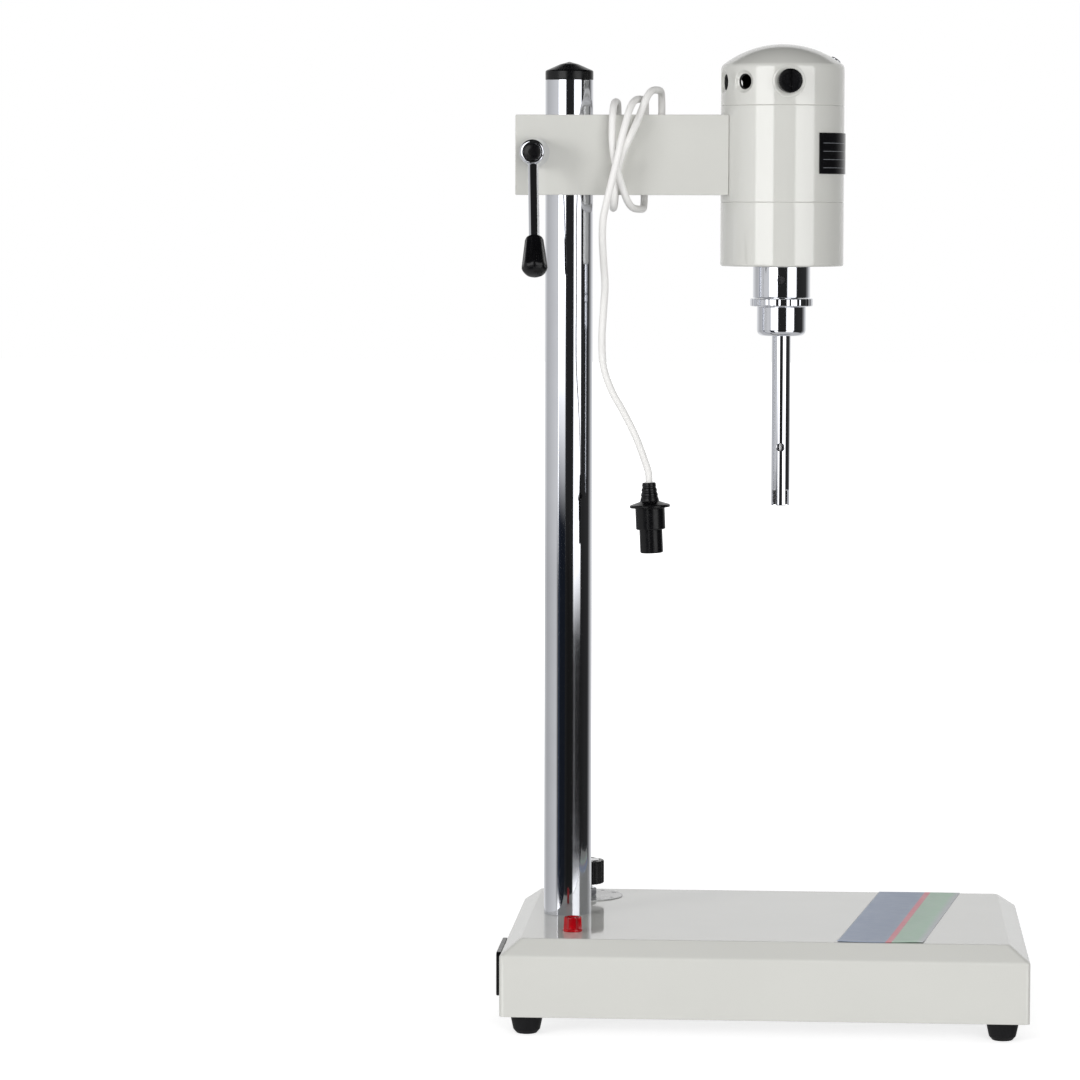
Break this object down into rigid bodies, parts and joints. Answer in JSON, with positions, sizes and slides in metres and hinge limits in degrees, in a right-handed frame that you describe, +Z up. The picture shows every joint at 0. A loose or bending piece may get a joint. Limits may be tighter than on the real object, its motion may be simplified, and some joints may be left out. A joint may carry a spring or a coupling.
{
  "type": "laboratory homogenizer",
  "caption": "Bench homogenizer: motor head with dispersing tool on a sliding arm, on a chromed column over a flat sheet metal base with speed knob.",
  "frame": {"origin": "middle of the object's box, on the surface that its feet stand on", "axes": "+Z up along the column, +X from the column towards the motor head, +Y to the left when facing +X"},
  "size_m": [0.348, 0.23, 0.647],
  "materials": {
    "painted_sheet": "smooth warm light grey gloss paint on folded steel sheet",
    "painted_casting": "smooth warm light grey gloss paint on cast aluminium",
    "chrome": "mirror bright chrome plate",
    "steel": "plain bright steel",
    "black_plastic": "black moulded plastic",
    "rubber": "black rubber",
    "white_cord": "white flexible cord sheath",
    "red_lens": "clear red faceted lens",
    "laminations": "laminated steel with copper winding",
    "nylon": "natural nylon",
    "carbon": "pressed carbon",
    "circuit_board": "green circuit board",
    "label_film": "printed film in plain blue, red and green bands",
    "dial_film": "grey dial disc with plain marks"
  },
  "bodies": {
    "base": {"base_cover": "painted_sheet", "bottom_plate": "steel", "foot_front_left": "rubber", "foot_front_right": "rubber", "foot_rear_left": "rubber", "foot_rear_right": "rubber", "column": "chrome", "column_cap": "black_plastic", "column_support": "steel", "column_bolt": "steel", "control_board": "circuit_board", "potentiometer": "steel", "pot_nut": "chrome", "dial_plate": "dial_film", "indicator_lamp": "red_lens", "power_inlet": "black_plastic", "lead_socket": "black_plastic", "front_label": "label_film"},
    "sleeve": {"clamp_liner": "nylon"},
    "arm": {"arm_casting": "painted_casting", "clamp_nut": "steel", "head_lower": "painted_casting", "head_middle": "painted_casting", "head_cover": "painted_casting", "rating_plate": "black_plastic", "saddle_screw": "steel", "motor_field": "laminations", "bearing_lower": "steel", "bearing_upper": "steel", "brush_holder_right": "steel", "brush_holder_left": "steel", "brush_right": "carbon", "brush_left": "carbon", "brush_cap_right": "black_plastic", "brush_cap_left": "black_plastic", "spigot": "chrome", "spigot_set_screw": "steel", "tool_collar": "chrome", "tool_tube": "chrome", "tool_bush": "nylon", "cord_gland": "rubber", "cord_lead": "white_cord", "cord_winding": "white_cord", "cord_drop": "white_cord", "cord_plug": "rubber"},
    "lever": {"clamp_screw": "steel", "lever_arm": "chrome", "lever_plug": "black_plastic", "lever_grip": "black_plastic"},
    "rotor": {"motor_shaft": "steel", "armature": "laminations", "cooling_fan": "nylon", "drive_coupling": "steel", "tool_shaft": "steel", "rotor_head": "steel"},
    "lock": {"lock_ring": "chrome"},
    "knob": {"potentiometer_shaft": "steel", "speed_knob": "black_plastic", "knob_cap": "chrome"},
    "rocker": {"power_rocker": "black_plastic"}
  },
  "joints": [
    {"name": "arm_slide", "type": "slide", "parent": "base", "child": "sleeve", "axis": [0, 0, 1], "range_m": [-0.2, 0.02]},
    {"name": "arm_swivel", "type": "hinge", "parent": "sleeve", "child": "arm", "pos_m": [-0.1325, 0, 0.5735], "axis": [0, 0, 1], "range_deg": [-180, 180]},
    {"name": "lever_turn", "type": "hinge", "parent": "arm", "child": "lever", "pos_m": [-0.154, -0.035, 0.575], "axis": [0, -1, 0], "range_deg": [-25, 110]},
    {"name": "rotor_spin", "type": "hinge", "parent": "arm", "child": "rotor", "pos_m": [0.0095, 0, 0.57], "axis": [0, 0, 1], "continuous": true},
    {"name": "lock_ring_turn", "type": "hinge", "parent": "arm", "child": "lock", "pos_m": [0.0095, 0, 0.476], "axis": [0, 0, 1], "range_deg": [0, 60]},
    {"name": "knob_turn", "type": "hinge", "parent": "base", "child": "knob", "pos_m": [-0.1245, 0.072, 0.08], "axis": [0, 0, -1], "range_deg": [0, 300]},
    {"name": "rocker_tilt", "type": "hinge", "parent": "base", "child": "rocker", "pos_m": [-0.17, -0.0555, 0.0385], "axis": [0, 1, 0], "range_deg": [0, 16]}
  ]
}
